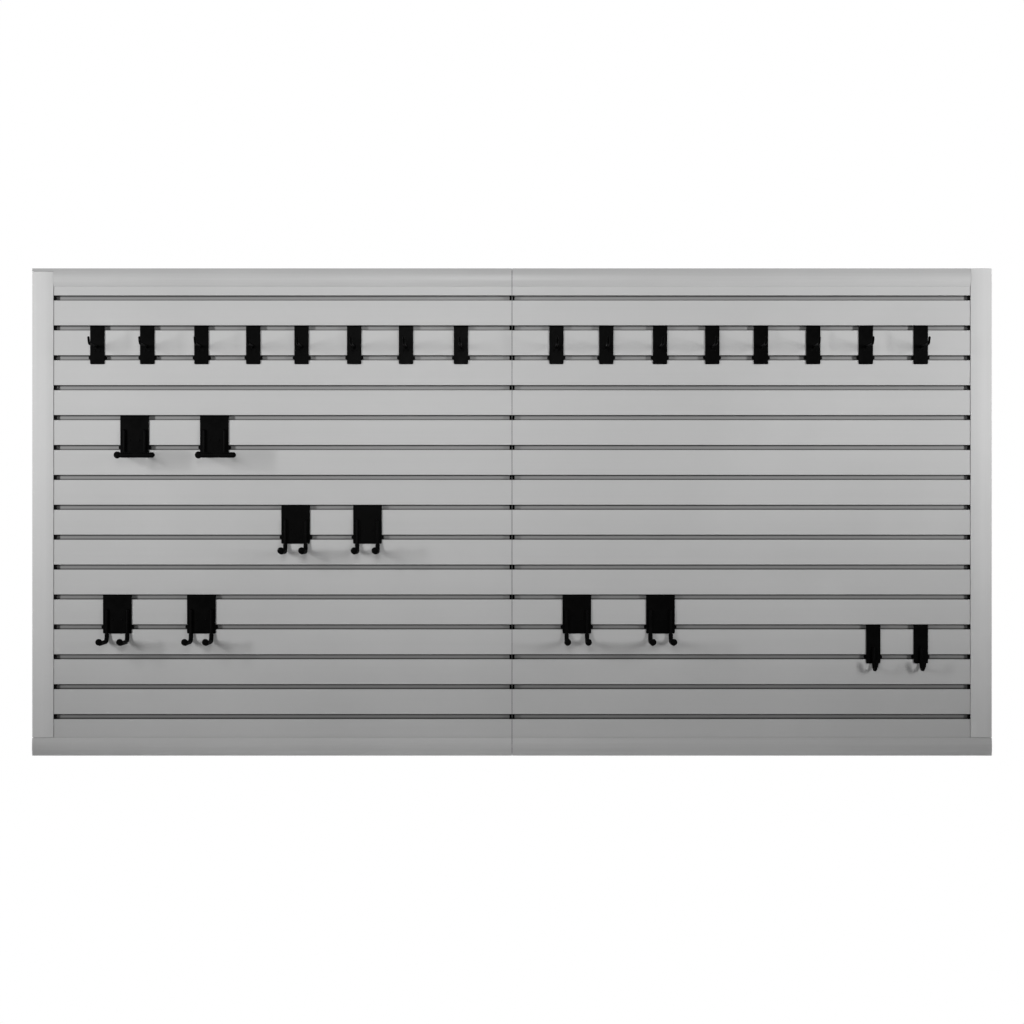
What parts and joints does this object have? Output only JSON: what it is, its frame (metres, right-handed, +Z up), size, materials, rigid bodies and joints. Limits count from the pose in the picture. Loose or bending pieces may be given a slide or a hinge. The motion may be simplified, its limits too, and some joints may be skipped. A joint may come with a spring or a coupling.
{
  "type": "slatwall panel",
  "caption": "Wall-mounted slatwall of interlocking planks with crowned edge trims, end-plugged slots and black hooks that slide along the slots.",
  "frame": {"origin": "on the wall plane, at the joint between the two columns of planks, at the mid-height of the middle slot; the wall screw patterns are centred on it", "axes": "+X to the right along the panel, +Y into the wall, +Z up; the front faces -Y"},
  "size_m": [2.4432, 0.1337, 1.2408],
  "materials": {
    "plank_pvc": "satin extruded light grey",
    "trim_pvc": "satin extruded lighter grey",
    "plug_plastic": "moulded black",
    "screw_zinc": "zinc plated",
    "hook_steel": "black powder coat",
    "grip_rubber": "black dipped rubber"
  },
  "bodies": {
    "panel": {"left_plank_1": "plank_pvc", "left_plank_2": "plank_pvc", "left_plank_3": "plank_pvc", "left_plank_4": "plank_pvc", "right_plank_1": "plank_pvc", "right_plank_2": "plank_pvc", "right_plank_3": "plank_pvc", "right_plank_4": "plank_pvc", "top_trim_left": "trim_pvc", "top_trim_right": "trim_pvc", "bottom_trim_left": "trim_pvc", "bottom_trim_right": "trim_pvc", "left_trim": "trim_pvc", "right_trim": "trim_pvc", "left_end_cap": "trim_pvc", "right_end_cap": "trim_pvc", "left_slot_plugs": "plug_plastic", "right_slot_plugs": "plug_plastic", "trim_screws": "screw_zinc"},
    "peg_hook_1": {"peg_hook_1": "hook_steel"},
    "peg_hook_2": {"peg_hook_2": "hook_steel"},
    "peg_hook_3": {"peg_hook_3": "hook_steel"},
    "peg_hook_4": {"peg_hook_4": "hook_steel"},
    "peg_hook_5": {"peg_hook_5": "hook_steel"},
    "peg_hook_6": {"peg_hook_6": "hook_steel"},
    "peg_hook_7": {"peg_hook_7": "hook_steel"},
    "peg_hook_8": {"peg_hook_8": "hook_steel"},
    "peg_hook_9": {"peg_hook_9": "hook_steel"},
    "peg_hook_10": {"peg_hook_10": "hook_steel"},
    "peg_hook_11": {"peg_hook_11": "hook_steel"},
    "peg_hook_12": {"peg_hook_12": "hook_steel"},
    "peg_hook_13": {"peg_hook_13": "hook_steel"},
    "peg_hook_14": {"peg_hook_14": "hook_steel"},
    "peg_hook_15": {"peg_hook_15": "hook_steel"},
    "peg_hook_16": {"peg_hook_16": "hook_steel"},
    "bar_hook_1": {"bar_hook_1_bracket": "hook_steel", "bar_hook_1_rods": "hook_steel", "bar_hook_1_sleeve": "grip_rubber"},
    "bar_hook_2": {"bar_hook_2_bracket": "hook_steel", "bar_hook_2_rods": "hook_steel", "bar_hook_2_sleeve": "grip_rubber"},
    "double_hook_1": {"double_hook_1_bracket": "hook_steel", "double_hook_1_prongs": "hook_steel"},
    "double_hook_2": {"double_hook_2_bracket": "hook_steel", "double_hook_2_prongs": "hook_steel"},
    "double_hook_3": {"double_hook_3_bracket": "hook_steel", "double_hook_3_prongs": "hook_steel"},
    "double_hook_4": {"double_hook_4_bracket": "hook_steel", "double_hook_4_prongs": "hook_steel"},
    "double_hook_5": {"double_hook_5_bracket": "hook_steel", "double_hook_5_prongs": "hook_steel"},
    "double_hook_6": {"double_hook_6_bracket": "hook_steel", "double_hook_6_prongs": "hook_steel"},
    "short_hook_1": {"short_hook_1_bracket": "hook_steel", "short_hook_1_prong": "hook_steel"},
    "short_hook_2": {"short_hook_2_bracket": "hook_steel", "short_hook_2_prong": "hook_steel"}
  },
  "joints": [
    {"name": "peg_hook_1_slide", "type": "slide", "parent": "panel", "child": "peg_hook_1", "axis": [1, 0, 0], "range_m": [-0.0832, 0.0803]},
    {"name": "peg_hook_2_slide", "type": "slide", "parent": "panel", "child": "peg_hook_2", "axis": [1, 0, 0], "range_m": [-0.0803, 0.0913]},
    {"name": "peg_hook_3_slide", "type": "slide", "parent": "panel", "child": "peg_hook_3", "axis": [1, 0, 0], "range_m": [-0.0913, 0.0853]},
    {"name": "peg_hook_4_slide", "type": "slide", "parent": "panel", "child": "peg_hook_4", "axis": [1, 0, 0], "range_m": [-0.0853, 0.0763]},
    {"name": "peg_hook_5_slide", "type": "slide", "parent": "panel", "child": "peg_hook_5", "axis": [1, 0, 0], "range_m": [-0.0763, 0.0873]},
    {"name": "peg_hook_6_slide", "type": "slide", "parent": "panel", "child": "peg_hook_6", "axis": [1, 0, 0], "range_m": [-0.0873, 0.0853]},
    {"name": "peg_hook_7_slide", "type": "slide", "parent": "panel", "child": "peg_hook_7", "axis": [1, 0, 0], "range_m": [-0.0853, 0.0933]},
    {"name": "peg_hook_8_slide", "type": "slide", "parent": "panel", "child": "peg_hook_8", "axis": [1, 0, 0], "range_m": [-0.0933, 0.0999]},
    {"name": "peg_hook_9_slide", "type": "slide", "parent": "panel", "child": "peg_hook_9", "axis": [1, 0, 0], "range_m": [-0.0829, 0.0803]},
    {"name": "peg_hook_10_slide", "type": "slide", "parent": "panel", "child": "peg_hook_10", "axis": [1, 0, 0], "range_m": [-0.0803, 0.0903]},
    {"name": "peg_hook_11_slide", "type": "slide", "parent": "panel", "child": "peg_hook_11", "axis": [1, 0, 0], "range_m": [-0.0903, 0.0863]},
    {"name": "peg_hook_12_slide", "type": "slide", "parent": "panel", "child": "peg_hook_12", "axis": [1, 0, 0], "range_m": [-0.0863, 0.0773]},
    {"name": "peg_hook_13_slide", "type": "slide", "parent": "panel", "child": "peg_hook_13", "axis": [1, 0, 0], "range_m": [-0.0773, 0.0863]},
    {"name": "peg_hook_14_slide", "type": "slide", "parent": "panel", "child": "peg_hook_14", "axis": [1, 0, 0], "range_m": [-0.0863, 0.0873]},
    {"name": "peg_hook_15_slide", "type": "slide", "parent": "panel", "child": "peg_hook_15", "axis": [1, 0, 0], "range_m": [-0.0873, 0.0933]},
    {"name": "peg_hook_16_slide", "type": "slide", "parent": "panel", "child": "peg_hook_16", "axis": [1, 0, 0], "range_m": [-0.0933, 0.0982]},
    {"name": "bar_hook_1_slide", "type": "slide", "parent": "panel", "child": "bar_hook_1", "axis": [1, 0, 0], "range_m": [-0.1599, 0.099]},
    {"name": "bar_hook_2_slide", "type": "slide", "parent": "panel", "child": "bar_hook_2", "axis": [1, 0, 0], "range_m": [-0.099, 0.7096]},
    {"name": "double_hook_1_slide", "type": "slide", "parent": "panel", "child": "double_hook_1", "axis": [1, 0, 0], "range_m": [-0.5699, 0.0998]},
    {"name": "double_hook_2_slide", "type": "slide", "parent": "panel", "child": "double_hook_2", "axis": [1, 0, 0], "range_m": [-0.0998, 0.3196]},
    {"name": "double_hook_3_slide", "type": "slide", "parent": "panel", "child": "double_hook_3", "axis": [1, 0, 0], "range_m": [-0.1159, 0.1308]},
    {"name": "double_hook_4_slide", "type": "slide", "parent": "panel", "child": "double_hook_4", "axis": [1, 0, 0], "range_m": [-0.1308, 0.7426]},
    {"name": "double_hook_5_slide", "type": "slide", "parent": "panel", "child": "double_hook_5", "axis": [1, 0, 0], "range_m": [-0.1166, 0.1298]},
    {"name": "double_hook_6_slide", "type": "slide", "parent": "panel", "child": "double_hook_6", "axis": [1, 0, 0], "range_m": [-0.1298, 0.477]},
    {"name": "short_hook_1_slide", "type": "slide", "parent": "panel", "child": "short_hook_1", "axis": [1, 0, 0], "range_m": [-0.477, 0.0743]},
    {"name": "short_hook_2_slide", "type": "slide", "parent": "panel", "child": "short_hook_2", "axis": [1, 0, 0], "range_m": [-0.0743, 0.0982]}
  ]
}
